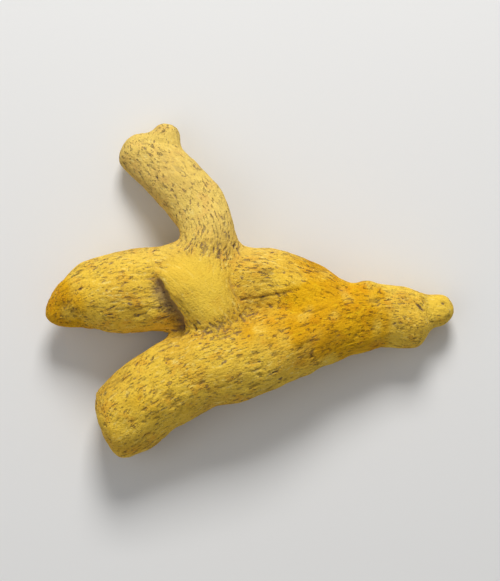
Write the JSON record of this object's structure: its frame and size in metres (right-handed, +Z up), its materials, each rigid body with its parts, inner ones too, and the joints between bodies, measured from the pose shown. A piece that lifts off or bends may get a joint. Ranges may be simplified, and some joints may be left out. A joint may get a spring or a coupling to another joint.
{
  "type": "turmeric root",
  "caption": "Dried turmeric root lying flat: a long blunt finger with a pointed lobe beside it, an upper finger grown across both, and small buds at two ends. Wrinkled ochre rind.",
  "frame": {"origin": "on the surface that the root lies on, at the middle of its outline seen from above", "axes": "+X runs along the long finger towards its end bud, +Y towards the upper finger's tip, +Z up"},
  "size_m": [0.0734, 0.0602, 0.0174],
  "materials": {
    "dried_rind": "matte"
  },
  "bodies": {
    "root": {"turmeric_root": "dried_rind"}
  },
  "joints": []
}
